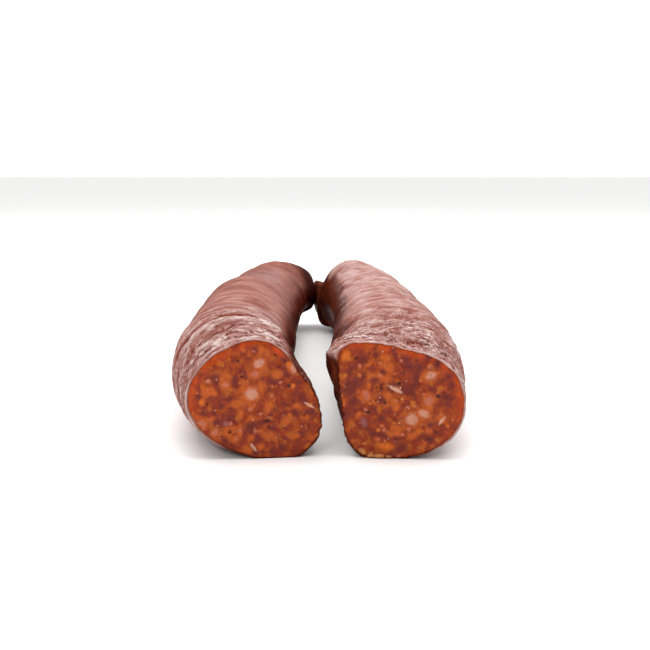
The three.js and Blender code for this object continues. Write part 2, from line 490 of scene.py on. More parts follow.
class DriedSkin:
    """The dried casing's relief on a link: lumps, bands, creases, the fold and the gathers at the twist."""

    LUMP_SIZES = ((17.0, 0.42), (8.0, 0.2))
    BAND_LENGTH = 11.0
    BAND_HEIGHT = 0.42
    FOLD_CREST = 20.5
    FOLD_CREST_HEIGHT = 0.6
    FOLD_GROOVE = 24.6
    FOLD_DEPTH = 1.0
    FOLD_WIDTH = 1.6
    GATHERS = 13
    GATHER_HEIGHT = 0.75
    TWIST_RATE = 0.16
    DEEPEST = 1.1
    CUT_LUMP_SHARE = 0.35
    CUT_CREASE_SHARE = 0.4
    JAG_LENGTH = 1.3
    JAG_HEIGHT = 0.55

    def __init__(self, surface: LinkSurface) -> None:
        """Keeps the link that the skin is on."""
        self.surface = surface

    def lumps(self, skin: Array) -> Array:
        """The sum of two sizes of noise, and of bands of noise that run round the link."""
        seed = self.surface.form.seed
        total = sum(height * gradient_noise(skin / size, seed + i) for i, (size, height) in enumerate(self.LUMP_SIZES))
        bands = gradient_noise(skin / (34.0, 34.0, self.BAND_LENGTH), seed + 5)
        return total + self.BAND_HEIGHT * bands

    def creases(self, skin: Array, from_cut: Array) -> tuple[Array, Array]:
        """The sum of the link's crease fields, and the share of the way from hollow to crest.

        A field is one less the size of stretched noise, raised to the field's sharpness. The noise is read at
        places pushed about by slower noise, so that crests wander, split and end.
        """
        seed = self.surface.form.seed
        push = np.stack([gradient_noise(skin / 7.0, seed + 20 + i) for i in range(3)], axis=-1)
        total = np.zeros(skin.shape[:-1])
        crest = np.zeros(skin.shape[:-1])
        reach = 0.0
        for field in self.surface.form.wrinkles:
            spread = np.array([field.around, field.around, field.along])
            noise = gradient_noise((skin + push * (1.0, 1.0, 0.9)) / spread, field.seed)
            line = np.clip(1 - np.abs(noise) * 1.5, 0, 1) ** field.sharpness
            height = blend(field.height, field.far_height, smoothstep(from_cut, 12, field.fade))
            total += height * (line - 0.45)
            crest += np.abs(height) * (line if field.height > 0 else 1 - line)
            reach = reach + np.abs(height)
        return total, crest / reach

    def groove(self, from_cut: Array, angle: Array) -> Array:
        """Where the groove of the deep fold is: a bell shape that wanders along the link."""
        skin = self.surface.skin_coordinates(from_cut, angle)
        wander = 1.3 * gradient_noise(skin / (14.0, 14.0, 60.0), 61)
        across = hump(turned_from(angle, 75), math.radians(125)) ** 0.5
        bell = np.exp(-(((from_cut + wander - self.FOLD_GROOVE) / self.FOLD_WIDTH) ** 2))
        return bell * across * self.surface.form.fold

    def fold(self, from_cut: Array, angle: Array) -> Array:
        """One deep fold across the link: the groove, and the same shape before it as a ridge."""
        behind = self.FOLD_GROOVE - self.FOLD_CREST
        ridge, groove = self.groove(from_cut + behind, angle), self.groove(from_cut, angle)
        return self.FOLD_CREST_HEIGHT * ridge - self.FOLD_DEPTH * groove

    def jags(self, skin: Array, from_cut: Array, angle: Array) -> Array:
        """Small bumps where the knife tore the casing, on the inner side of the rim: short noise round the ring."""
        torn = hump(turned_from(angle, 190), math.radians(85)) * (1 - smoothstep(from_cut, 0, 2.5))
        return self.JAG_HEIGHT * torn * gradient_noise(skin / self.JAG_LENGTH, self.surface.form.seed + 30)

    def gathers(self, from_cut: Array, angle: Array) -> Array:
        """Pleats that run into the twist: a cosine round the ring, turned in step with the distance."""
        from_neck = self.surface.length - from_cut
        side = self.surface.form.side.value
        turn = self.TWIST_RATE * (side * from_neck)
        pleat = np.cos(self.GATHERS * (side * angle + turn) + 1.5 * np.sin(3 * angle))
        near = 1 - smoothstep(from_neck, 2, 20)
        return self.GATHER_HEIGHT * (np.abs(pleat) - 0.6) * near * smoothstep(from_neck, -4, 9)

    def relief(self, from_cut: Array, angle: Array) -> tuple[Array, Array]:
        """The height of the skin over the smooth link, and how far each point is up its crease."""
        skin = self.surface.skin_coordinates(from_cut, angle)
        creases, crest = self.creases(skin, from_cut)
        fold = self.fold(from_cut, angle)
        lumps = self.lumps(skin) * blend(self.CUT_LUMP_SHARE, 1.0, smoothstep(from_cut, 0, 12))
        creases = creases * blend(self.CUT_CREASE_SHARE, 1.0, smoothstep(from_cut, 0, 4))
        height = lumps + creases + fold
        height = height * blend(0.35, 1.0, self.surface.out_of_twist(from_cut)) + self.gathers(from_cut, angle)
        height = height + self.jags(skin, from_cut, angle)
        return np.maximum(height, -self.DEEPEST), np.clip(crest + 0.8 * fold, 0, 1)

    def rim_radius(self, angle: Array) -> Array:
        """The radius of the skin at the cut, as one row."""
        start = np.zeros((1, 1))
        return self.surface.ring_radius(start, angle) + self.relief(start, angle)[0]


def casing_thickness(angle: Array, seed: int) -> Array:
    """The cut casing's thickness in mm: 0.3, noise round the ring, and a wide part low on the outer side."""
    ring = np.stack([np.cos(angle), np.sin(angle), np.zeros_like(angle)], axis=-1)
    return 0.3 + 0.12 * gradient_noise(ring * 6.0, seed) + 0.25 * hump(turned_from(angle, -25), math.radians(60))


def grid_mesh(
    name: str, rows: Array, poles: tuple[Array, Array], attributes: Mapping[str, Array]
) -> bpy.types.Object:
    """Makes one closed mesh of rings, with a point at each end.

    Args:
        name: The object's name.
        rows: The rings in mm: ring, place on the ring, and x, y, z.
        poles: The end points before the first ring and after the last one.
        attributes: For each name, a value or a vector for each ring point. A pole takes its ring's mean.

    Returns:
        The new object, at the origin and in metres.
    """
    rings, sides = rows.shape[:2]
    count = rings * sides
    vertices = np.concatenate([rows.reshape(-1, 3), np.array(poles)]) * METRES
    index = np.arange(count).reshape(rings, sides)
    turned = np.roll(index, -1, axis=1)
    quads = np.stack([index[:-1], turned[:-1], turned[1:], index[1:]], axis=-1).reshape(-1, 4)
    first = np.stack([np.full(sides, count), turned[0], index[0]], axis=-1)
    last = np.stack([np.full(sides, count + 1), index[-1], turned[-1]], axis=-1)
    triangles = np.concatenate([first, last])
    loops = np.concatenate([quads.ravel(), triangles.ravel()])
    starts = np.concatenate([np.arange(len(quads)) * 4, len(quads) * 4 + np.arange(len(triangles)) * 3])
    mesh = bpy.data.meshes.new(name)
    mesh.vertices.add(len(vertices))
    mesh.vertices.foreach_set("co", vertices.ravel().astype(np.float32))
    mesh.loops.add(len(loops))
    mesh.loops.foreach_set("vertex_index", loops.astype(np.int32))
    mesh.polygons.add(len(starts))
    mesh.polygons.foreach_set("loop_start", starts.astype(np.int32))
    mesh.update(calc_edges=True)
    mesh.shade_smooth()
    for key, values in attributes.items():
        vector = values.ndim == 3
        kind, slot = ("FLOAT_VECTOR", "vector") if vector else ("FLOAT", "value")
        flat = values.reshape(count, -1)
        ends = [values[0].reshape(sides, -1).mean(0), values[-1].reshape(sides, -1).mean(0)]
        layer = mesh.attributes.new(key, kind, "POINT")
        layer.data.foreach_set(slot, np.concatenate([flat, ends]).ravel().astype(np.float32))
    piece = bpy.data.objects.new(name, mesh)
    bpy.context.scene.collection.objects.link(piece)
    return piece


def add_node(
    tree: bpy.types.NodeTree,
    kind: str,
    values: Mapping[int | str, object] | None = None,
    links: Mapping[int | str, bpy.types.Node | bpy.types.NodeSocket] | None = None,
    stops: Sequence[tuple[float, Colour]] = (),
    **settings: object,
) -> bpy.types.Node:
    """Adds a node with its settings and links.

    Args:
        tree: The node tree.
        kind: The node's type name without "ShaderNode".
        values: Constants for input sockets, by name or number.
        links: What to link to input sockets, by name or number. A node stands for its first output.
        stops: For a colour ramp, its places and colours.
        **settings: The node's own properties.

    Returns:
        The new node.
    """
    node = tree.nodes.new("ShaderNode" + kind)
    for key, value in settings.items():
        setattr(node, key, value)
    for key, value in (values or {}).items():
        node.inputs[key].default_value = value
    for key, source in (links or {}).items():
        socket = source.outputs[0] if isinstance(source, bpy.types.Node) else source
        tree.links.new(socket, node.inputs[key])
    for i, (place, colour) in enumerate(stops):
        ramp = node.color_ramp.elements
        stop = ramp[i] if i < 2 else ramp.new(place)
        stop.position = place
        stop.color = colour
    return node


def new_material(name: str) -> tuple[bpy.types.Material, Callable[..., bpy.types.Node]]:
    """Makes an empty node material, and returns it with add_node bound to its tree."""
    material = bpy.data.materials.new(name)
    material.use_nodes = True
    material.node_tree.nodes.clear()
    return material, partial(add_node, material.node_tree)


@dataclass(frozen=True)
class DriedCasing:
    """Natural hog casing, dried and air-cured: a translucent red-brown membrane that the paprika has stained.

    A dry, dusty white bloom lies on the crests and the open top, so the eye sees a chalky mauve pink there, and the
    palest crests carry a painted highlight as well. The hollows and the sheltered inner sides are painted dark as
    shade, smooth and a little glossy, and the outlines are painted darker where the skin is seen edge-on.
    """

    # The bare casing's colours. The dark one also paints the shade on the sheltered sides and at the twist, where the
    # bloom is low.
    under_dark: str = "#3f1510"
    under_light: str = "#863a1c"
    # Painted shade: the colour of the creases' hollows and of the outlines seen edge-on.
    crease: str = "#541f17"
    bloom_shade: str = "#85514a"
    bloom: str = "#a87f78"
    # Partly the bloom's own pale colour and partly a painted highlight on the crests.
    bloom_and_highlight: str = "#d8c5c0"
    thin_bloom: float = 0.6
    bare_roughness: float = 0.38
    bloom_roughness: float = 0.78
    patch_size: float = 6.0
    # In mm. A real casing's finest crinkles are too fine to show from where the pair is seen, so they are drawn
    # coarser than they are.
    crinkle_along: float = 1.0
    crinkle_around: float = 1.9
    crinkle_height: float = 0.8
    crevice_width: float = 0.07  # in the crinkle noise's values, not mm
    # How the crests, crinkles, crevices and patches move the colour along the ramp. The light crests and the dark
    # crevices follow the relief, so they are partly painted highlight and painted shade.
    crest_share: float = 0.72
    crinkle_shading_share: float = 1.0
    crevice_shade_share: float = 0.38
    patch_share: float = 0.4
    bare_below: float = -0.2
    covered_above: float = 1.27
    # Painted shade: from this facing on the colour turns towards the crease colour, by up to this share, so the
    # outlines look darker.
    limb_shade_start: float = 0.86
    limb_shade_share: float = 0.6

    def make(self) -> bpy.types.Material:
        """Builds the material from the skin, crest and bloom attributes of the casing's mesh."""
        material, add = new_material("dried_natural_casing")
        skin = add("Attribute", attribute_name="skin").outputs["Vector"]
        crest, bloom, crinkled = (
            add("Attribute", attribute_name=name).outputs["Fac"] for name in ("crest", "bloom", "crinkled")
        )
        patches = add("TexNoise", {"Scale": 1 / self.patch_size, "Detail": 4.0, "Roughness": 0.6}, {"Vector": skin})
        # Where the bloom is low the bare casing takes its dark colour, which paints shade on the sheltered sides and
        # at the twist.
        bare_tone_and_shade = add("Math", {1: 0.45}, {0: bloom, 2: patches}, operation="MULTIPLY_ADD")
        under = add(
            "ValToRGB", links={0: bare_tone_and_shade}, stops=((0.4, linear(self.under_dark)), (0.85, linear(self.under_light))),
        )
        stretched = add(
            "Mapping", {"Scale": (1 / self.crinkle_around, 1 / self.crinkle_around, 1 / self.crinkle_along)},
            {"Vector": skin},
        )
        crinkle = add(
            "TexNoise", {"Scale": 1.0, "Detail": 3.0, "Roughness": 0.62, "Distortion": 0.5}, {"Vector": stretched},
        )
        centred = add("Math", {1: 0.5}, {0: crinkle}, operation="SUBTRACT")
        # Crinkle crests lighten the colour and crevices darken it, in step with the bump: partly painted highlight and
        # painted shade.
        sharp = add("Math", links={0: centred, 1: crinkled}, operation="MULTIPLY")
        away = add("Math", links={0: centred}, operation="ABSOLUTE")
        crevice = add("MapRange", {2: self.crevice_width, 3: 1.0, 4: 0.0}, {0: away}, interpolation_type="SMOOTHSTEP")
        cracked = add("Math", links={0: crevice, 1: crinkled}, operation="MULTIPLY")
        settled = add("Math", {1: self.crest_share}, {0: crest}, operation="MULTIPLY")
        for share, layer in ((self.crinkle_shading_share, sharp), (-self.crevice_shade_share, cracked), (self.patch_share, patches)):
            settled = add("Math", {1: share}, {0: layer, 2: settled}, operation="MULTIPLY_ADD")
        spread = add("MapRange", {1: self.bare_below, 2: self.covered_above}, {0: settled})
        blotches = add(
            "MapRange", {1: 0.36, 2: 0.56, 3: self.thin_bloom}, {0: patches}, interpolation_type="SMOOTHSTEP",
        )
        cover = add("Math", links={0: blotches, 1: bloom}, operation="MULTIPLY")
        # The crest share picks the colour: the dark crease colour in the hollows is painted shade, and the near-white
        # top is partly the bloom's own colour and partly a painted highlight.
        powder_and_crease_shade = add(
            "ValToRGB", links={0: spread},
            stops=(
                (0.15, linear(self.crease)), (0.85, linear(self.bloom_and_highlight)),
                (0.32, linear(self.bloom_shade)), (0.5, linear(self.bloom)),
            ),
        )
        colour = add("Mix", links={0: cover, 6: under, 7: powder_and_crease_shade}, data_type="RGBA")
        # Painted shade: where the skin is seen edge-on its colour turns towards the crease colour, darkening the
        # outlines.
        view = add("LayerWeight", {"Blend": 0.5})
        limb_shade = add(
            "MapRange", {1: self.limb_shade_start, 2: 1.0, 4: self.limb_shade_share}, {0: view.outputs["Facing"]},
            interpolation_type="SMOOTHSTEP",
        )
        limb_shaded = add("Mix", {7: linear(self.crease)}, {0: limb_shade, 6: colour.outputs[2]}, data_type="RGBA")
        roughness = add("MapRange", {3: self.bare_roughness, 4: self.bloom_roughness}, {0: cover})
        puckered = add("Math", {1: -0.3}, {0: cracked, 2: crinkle}, operation="MULTIPLY_ADD")
        bump = add("Bump", {"Strength": 0.7, "Distance": self.crinkle_height * METRES}, {"Height": puckered})
        shader = add(
            "BsdfPrincipled",
            {"IOR": 1.35, "Specular IOR Level": 0.04, "Subsurface Weight": 0.08,
             "Subsurface Radius": (1.0, 0.35, 0.2), "Subsurface Scale": 0.0012},
            {"Base Color": limb_shaded.outputs[2], "Roughness": roughness, "Normal": bump},
        )
        add("OutputMaterial", links={"Surface": shader})
        return material


@dataclass(frozen=True)
class GroundFilling:
    """Coarse-ground cured meat and fat stained by paprika, cut with a knife.

    The eye sees a mosaic: dark burgundy lean meat, translucent orange fat and a red-orange paste between them. It
    is moist, so small bright glints sit on the edges of the pieces; some of them are painted as pale specks among
    the grains, which are painted highlights.
    """

    lean: str = "#762819"
    paste: str = "#8c2e0e"
    orange: str = "#a4480f"
    pale_orange: str = "#b55f1c"
    rim: str = "#b8430c"
    # Sizes in mm: blotches of mince, the spacing of its fat, and the drag marks of the knife.
    blotch_size: float = 2.1
    fat_spacing: float = 2.4
    fibre_size: float = 0.7
    fibre_length: float = 1.3
    fibre_height: float = 0.5
    roughness: float = 0.42

    def make(self) -> bpy.types.Material:
        """Builds the material from Object coordinates and the grain attributes of the filling's mesh."""
        material, add = new_material("ground_paprika_filling")
        place = add("TexCoord")
        metres = add("VectorMath", {"Scale": 1 / METRES}, {0: place.outputs["Object"]}, operation="SCALE")
        warp = add("TexNoise", {"Scale": 0.55, "Detail": 3.0, "Roughness": 0.6}, {"Vector": metres})
        centred = add("VectorMath", {1: (0.5, 0.5, 0.5)}, {0: warp.outputs["Color"]}, operation="SUBTRACT")
        warped = add("VectorMath", {1: (3.2, 3.2, 3.2)}, {0: centred, 2: metres}, operation="MULTIPLY_ADD")
        blotches = add(
            "TexNoise", {"Scale": 1 / self.blotch_size, "Detail": 5.0, "Roughness": 0.62}, {"Vector": warped},
        )
        mince = add(
            "ValToRGB", links={0: blotches},
            stops=((0.38, linear(self.lean)), (0.62, linear(self.orange)), (0.5, linear(self.paste))),
        )
        cells = add("TexVoronoi", {"Scale": 1 / self.fat_spacing}, {"Vector": warped})
        chance = add("SeparateColor", links={0: cells.outputs["Color"]})
        chosen = add("MapRange", {1: 0.5, 2: 0.6}, {0: chance}, interpolation_type="SMOOTHSTEP")
        blob = add("MapRange", {1: 0.55, 2: 0.2}, {0: cells.outputs["Distance"]}, interpolation_type="SMOOTHSTEP")
        fat_cover = add("Math", links={0: chosen, 1: blob}, operation="MULTIPLY")
        fat_colour = add(
            "Mix", {6: linear(self.orange), 7: linear(self.pale_orange)}, {0: chance.outputs[1]}, data_type="RGBA",
        )
        marbled = add("Mix", links={0: fat_cover, 6: mince, 7: fat_colour.outputs[2]}, data_type="RGBA")
        rim = add("Attribute", attribute_name="rim")
        stained = add("Mix", {7: linear(self.rim)}, {0: rim.outputs["Fac"], 6: marbled.outputs[2]}, data_type="RGBA")
        grain = add("Attribute", attribute_name="grain")
        grain_colour = add("Attribute", attribute_name="grain_colour")
        colour = add(
            "Mix", links={0: grain.outputs["Fac"], 6: stained.outputs[2], 7: grain_colour.outputs["Color"]},
            data_type="RGBA",
        )
        dragged = add("Mapping", {"Scale": (1 / self.fibre_size, 1.0, 1 / self.fibre_length)}, {"Vector": warped})
        fibres = add("TexNoise", {"Scale": 1.0, "Detail": 4.0, "Roughness": 0.68}, {"Vector": dragged})
        speckle = add("MapRange", {1: 0.3, 2: 0.7, 3: 0.72, 4: 1.24}, {0: fibres})
        speckled = add("VectorMath", links={0: colour.outputs[2], 3: speckle}, operation="SCALE")
        bump = add("Bump", {"Strength": 0.7, "Distance": self.fibre_height * METRES}, {"Height": fibres})
        shader = add(
            "BsdfPrincipled",
            {"Roughness": self.roughness, "IOR": 1.33, "Specular IOR Level": 0.2, "Subsurface Weight": 0.25,
             "Subsurface Radius": (1.0, 0.3, 0.12), "Subsurface Scale": 0.0015,
             "Coat Weight": 0.3, "Coat Roughness": 0.1, "Coat IOR": 1.33},
            {"Base Color": speckled, "Normal": bump},
        )
        add("OutputMaterial", links={"Surface": shader})
        return material


@dataclass(frozen=True)
class PaintedBoard:
    """A board painted matt white: near-white, with a faint soft mottle from the roller."""

    shade: str = "#f4f3f2"
    light: str = "#fafafa"

    def make(self) -> bpy.types.Material:
        """Builds the floor's material."""
        material, add = new_material("matt_white_board")
        place = add("TexCoord")
        mottle = add("TexNoise", {"Scale": 30.0, "Detail": 2.0}, {"Vector": place.outputs["Object"]})
        colour = add("Mix", {6: linear(self.shade), 7: linear(self.light)}, {0: mottle}, data_type="RGBA")
        shader = add("BsdfPrincipled", {"Roughness": 0.7}, {"Base Color": colour.outputs[2]})
        add("OutputMaterial", links={"Surface": shader})
        return material


@dataclass
class Casing:
    """The one casing over both links: outer skin, cut rims, pockets for the fillings, and the twist between."""

    sides: int = 178
    fine_step: float = 0.36
    coarse_step: float = 1.75
    end_step: float = 0.85
    pocket_rings: int = 14
    pocket_inset: float = 1.3
    pocket_end: float = 6.0
    lip_crest: float = 0.68
    torn_angle: float = 160.0
    torn_spread: float = 42.0
    torn_reach: tuple[float, float] = (1, 7)
    crumb_size: float = 0.9
    crumb_seed: int = 77
    patch_size: float = 9.0
    # Painted shade: the bloom is thinned in the fold's groove, and the casing is left bare and dark in the twist, less
    # so on the outer side.
    groove_shade_share: float = 0.75
    twist_shade_reach: tuple[float, float] = (6, 22)
    twist_shade_depth: float = 1.2
    outer_unshaded: float = 0.72
    finish: DriedCasing = DriedCasing()

    def stations(self, surface: LinkSurface) -> Array:
        """Distances from the cut, as a column.

        The wanted step grows from fine at the cut to coarse along the body, and shrinks again at the rounded end.
        Its inverse is added up along the link, and equal parts of the sum give the stations.
        """
        travel = np.linspace(0, surface.length, 4000)
        step = blend(self.fine_step, self.coarse_step, smoothstep(travel, 24, 90))
        step = blend(step, self.end_step, smoothstep(travel, surface.length - 45, surface.length - 28))
        count = np.concatenate([[0], np.cumsum(np.diff(travel) / step[1:])])
        wanted = np.linspace(0, count[-1], int(count[-1]) + 1)
        return np.interp(wanted, count, travel)[:, None]

    def torn_crumbs(self, surface: LinkSurface, from_cut: Array, angle: Array) -> tuple[Array, ...]:
        """Where the cut's inner upper side is torn, and the pale crumbs on it: noise above a level."""
        torn = hump(turned_from(angle, self.torn_angle), math.radians(self.torn_spread))
        torn = torn * (1 - smoothstep(from_cut, *self.torn_reach))
        noise = gradient_noise(surface.skin_coordinates(from_cut, angle) / self.crumb_size, self.crumb_seed)
        return torn, smoothstep(noise, 0.1, 0.4)

    def bloom(self, skin: DriedSkin, from_cut: Array, angle: Array) -> Array:
        """How much bloom the skin carries: 1 where it faces out and up, 0 where it is sheltered.

        It fades into the twist and far back, and is thin in the fold's groove. Below 0, which it is on the inner side
        of the twist, the bare casing is darker. Much of this paints shade: the sheltered sides, the groove and the
        inner side of the twist are darker because they lie in shade, not only because they are bare.
        """
        surface, form = skin.surface, skin.surface.form
        from_neck = surface.length - from_cut
        inner = hump(turned_from(angle, 170), math.radians(80))
        # Painted shade: the bloom, and with it the pale colour, is taken off the inner and lower sides, which lie in
        # shade, and more of it beside the cut.
        facing = np.cos(angle) + 0.9 * np.sin(angle) + 0 * from_cut
        facing = facing - form.shelter_shade * (1 - smoothstep(from_cut, 3, 14)) * inner
        facing = facing + form.open_back * smoothstep(from_cut, 20, 60)
        patches = gradient_noise(surface.skin_coordinates(from_cut, angle) / self.patch_size, form.seed + 40)
        bloom = smoothstep(facing + 0.3 * patches, -0.4, 0.15)
        bloom = bloom * smoothstep(from_neck + 8 * np.cos(angle), -2, 26)
        bloom = bloom * (1 - form.thinning * smoothstep(from_cut, 40, 150))
        bloom = bloom * (1 - self.groove_shade_share * skin.groove(from_cut, angle))
        torn, crumbs = self.torn_crumbs(surface, from_cut, angle)
        bloom = np.maximum(bloom * (1 - 0.4 * torn), torn * crumbs)
        outer = smoothstep(np.cos(angle), -0.05, 0.5)
        bare = 1 - smoothstep(from_neck, *self.twist_shade_reach)
        bloom = bloom - self.twist_shade_depth * bare * (1 - self.outer_unshaded * outer)
        return form.torn_fold.shelter_shade(bloom, from_cut, angle) if form.torn_fold else bloom

    def crests(self, skin: DriedSkin, crest: Array, from_cut: Array, angle: Array) -> Array:
        """The share of the way up the creases, with the link's dusting, the torn parts and the lip in it."""
        form = skin.surface.form
        crest = crest + np.interp(from_cut, DUSTING_STATIONS, form.dusting)
        torn, crumbs = self.torn_crumbs(skin.surface, from_cut, angle)
        crest = np.maximum(crest, 0.8 * torn * crumbs)
        if form.torn_fold:
            crest = np.maximum(crest, form.torn_fold.crest * form.torn_fold.height(from_cut, angle))
        crest = blend(self.lip_crest, crest, smoothstep(from_cut, 0.2, 1.6))
        return blend(crest, crest.mean(), 0.7 * smoothstep(from_cut, 30, 120))

    def skin_rows(self, surface: LinkSurface, angle: Array) -> Rows:
        """The outer skin's rings from the cut to the twist, and the values that the finish reads."""
        skin = DriedSkin(surface)
        from_cut = self.stations(surface)
        relief, crest = skin.relief(from_cut, angle)
        radius = surface.ring_radius(from_cut, angle) + relief
        forward, fold = 0.0, surface.form.torn_fold
        if fold:
            ridge = fold.height(from_cut, angle)
            radius = radius + fold.outward * ridge
            forward = fold.forward * ridge * hump(from_cut, 2)
        stretch = surface.form.stretch
        faded = blend(1.0, 0.22, smoothstep(from_cut, 18, 75)) + 0.35 * hump(from_cut - 8, 9)
        return surface.place(from_cut, angle, radius, forward), {
            "crest": self.crests(skin, crest, from_cut, angle),
            "bloom": self.bloom(skin, from_cut, angle),
            "crinkled": smoothstep(from_cut, 0.1, 1.4) * faded + 0 * angle,
            "skin": surface.skin_coordinates(from_cut, angle) * (stretch, stretch, 1.0),
        }

    def rim_rows(self, surface: LinkSurface, angle: Array) -> Rows:
        """The pocket's rings from its floor to the cut, then the rim's inner edge."""
        form = surface.form
        skin = DriedSkin(surface)
        rim = skin.rim_radius(angle) - casing_thickness(angle, form.seed + 50)
        depth = surface.length - self.pocket_end
        share = np.linspace(1, 0, self.pocket_rings)[:, None]
        from_cut = np.concatenate([4 + (0.999 * depth - 4) * share**1.6, [[1.2], [0.0]]])
        inner = surface.ring_radius(from_cut, angle, self.pocket_inset, self.pocket_end)
        deep = smoothstep(from_cut, 0, 4)
        thickness = casing_thickness(angle, form.seed + 50)
        radius = blend(rim + 0 * from_cut, inner, deep)
        rows = surface.place(from_cut, angle, radius, clear=blend(thickness, self.pocket_inset, deep))
        zero = np.zeros(rows.shape[:2])
        # The cut rim is pale only on its upper outer side: partly bloom and partly painted light, with the lower inner
        # rim left dark as shade.
        at_cut = (1 - smoothstep(from_cut, 0, 0.5)) * smoothstep(np.cos(angle) + np.sin(angle), -0.3, 0.3)
        coordinates = surface.skin_coordinates(from_cut, angle)
        return rows, {"crest": 0.4 * at_cut, "bloom": at_cut, "crinkled": zero, "skin": coordinates}

    def build(self) -> bpy.types.Object:
        """Builds the casing as one closed mesh that runs from one pocket's floor to the other's."""
        angle = np.linspace(0, FULL_TURN, self.sides, endpoint=False)[None, :]
        left, right = LinkSurface(LEFT_FORM), LinkSurface(RIGHT_FORM)
        parts = [self.rim_rows(left, angle), self.skin_rows(left, angle), self.skin_rows(right, angle)]
        parts.append(self.rim_rows(right, angle))
        flip = (False, False, True, True)
        rows = np.concatenate([part[0][::-1] if turned else part[0] for part, turned in zip(parts, flip)])
        attributes = {
            key: np.concatenate([part[1][key][::-1] if turned else part[1][key] for part, turned in zip(parts, flip)])
            for key in parts[0][1]
        }
        poles = (rows[0].mean(0), rows[-1].mean(0))
        return grid_mesh("natural_casing", rows, poles, attributes)

    def dress(self, piece: bpy.types.Object) -> None:
        """Gives the casing its finish and its place in the frame."""
        piece.data.materials.append(self.finish.make())
        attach(piece, "root")
        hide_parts("casing")


LEFT_GRAINS = (
    Grain(Tissue.CREAM_FAT, -1.0, 2.8, 3.6, 3.3, 20),
    Grain(Tissue.ORANGE_FAT, -3.6, 0.6, 3.2, 2.8, 60),
    Grain(Tissue.CREAM_FAT, 1.1, 11.4, 3.2, 2.2, 25),
    Grain(Tissue.PINK_FAT, 0.0, 8.4, 2.2, 1.7, 0),
    Grain(Tissue.ORANGE_FAT, -8.0, 7.4, 3.4, 2.8, 50),
    Grain(Tissue.PINK_FAT, -8.1, 5.6, 2.0, 1.6, 0),
    Grain(Tissue.BRIGHT_FAT, 9.6, 10.3, 2.6, 1.6, 120),
    Grain(Tissue.CREAM_FAT, 10.6, 9.7, 2.4, 1.8, 120),
    Grain(Tissue.ORANGE_FAT, 6.1, 8.1, 3.2, 2.4, 20),
    Grain(Tissue.PINK_FAT, -14.5, -5.0, 2.4, 1.8, 150),
    Grain(Tissue.PINK_FAT, -11.1, -7.7, 2.2, 1.7, 60),
    Grain(Tissue.SINEW, -0.6, -12.4, 2.8, 0.9, 125),
    Grain(Tissue.SINEW, 14.8, -0.7, 3.2, 0.8, 150),
    Grain(Tissue.MAUVE_MEAT, -8.0, -5.3, 2.0, 1.4, 0),
    Grain(Tissue.PIT, 3.2, -4.9, 1.7, 1.0, 10),
    Grain(Tissue.PEPPER, 9.2, 4.9, 1.2, 0.9, 30),
    Grain(Tissue.PEPPER, -4.6, 12.1, 0.9, 0.7, 0),
    Grain(Tissue.ORANGE_FAT, -13.2, 3.0, 3.4, 1.9, 60),
    Grain(Tissue.ORANGE_FAT, 3.7, -9.1, 4.2, 2.6, 160),
    Grain(Tissue.ORANGE_FAT, 9.0, -4.7, 3.6, 2.6, 20),
    Grain(Tissue.ORANGE_FAT, 10.5, -9.4, 2.8, 2.2, 60),
    Grain(Tissue.ORANGE_FAT, 3.5, -0.9, 4.2, 2.2, 70),
)
RIGHT_GRAINS = (
    Grain(Tissue.CREAM_FAT, 8.8, 7.8, 2.8, 2.2, 30),
    Grain(Tissue.CREAM_FAT, 7.1, -2.9, 3.0, 2.0, 150),
    Grain(Tissue.CREAM_FAT, 3.8, -4.6, 3.4, 3.0, 40),
    Grain(Tissue.PINK_FAT, 8.4, 0.7, 2.8, 2.2, 60),
    Grain(Tissue.SINEW, -0.7, 3.7, 4.4, 1.2, 152),
    Grain(Tissue.SINEW, 12.0, -4.8, 3.0, 0.8, 55),
    Grain(Tissue.PINK_FAT, -8.7, 1.9, 2.6, 1.6, 115),
    Grain(Tissue.MAUVE_MEAT, -9.3, -5.9, 2.8, 1.8, 100),
    Grain(Tissue.BRIGHT_FAT, -3.4, -12.5, 5.6, 2.0, 175),
    Grain(Tissue.ORANGE_FAT, 0.0, -7.8, 3.6, 3.0, 30),
    Grain(Tissue.ORANGE_FAT, -2.5, 10.0, 3.2, 2.4, 120),
    Grain(Tissue.PEPPER, 0.2, 5.3, 1.2, 1.0, 0),
    Grain(Tissue.PEPPER, -8.2, -3.0, 1.1, 0.9, 0),
    Grain(Tissue.PEPPER, 10.9, 2.0, 1.2, 0.9, 0),
    Grain(Tissue.PEPPER, -6.2, 14.8, 0.7, 0.6, 0),
    Grain(Tissue.PIT, -11.4, 12.1, 1.7, 0.7, 20),
    Grain(Tissue.BRIGHT_FAT, -14.3, 12.8, 3.2, 2.2, 60),
    Grain(Tissue.MEAT, -12.2, 4.8, 5.0, 4.0, 60),
    Grain(Tissue.CRUMB, -9.6, -14.2, 2.6, 1.6, 150),
    Grain(Tissue.CRUMB, -7.4, -15.2, 2.2, 1.6, 20),
    Grain(Tissue.CRUMB, -5.0, -15.4, 2.8, 1.3, 0),
    Grain(Tissue.CRUMB, -2.4, -15.5, 1.6, 1.0, 0),
)


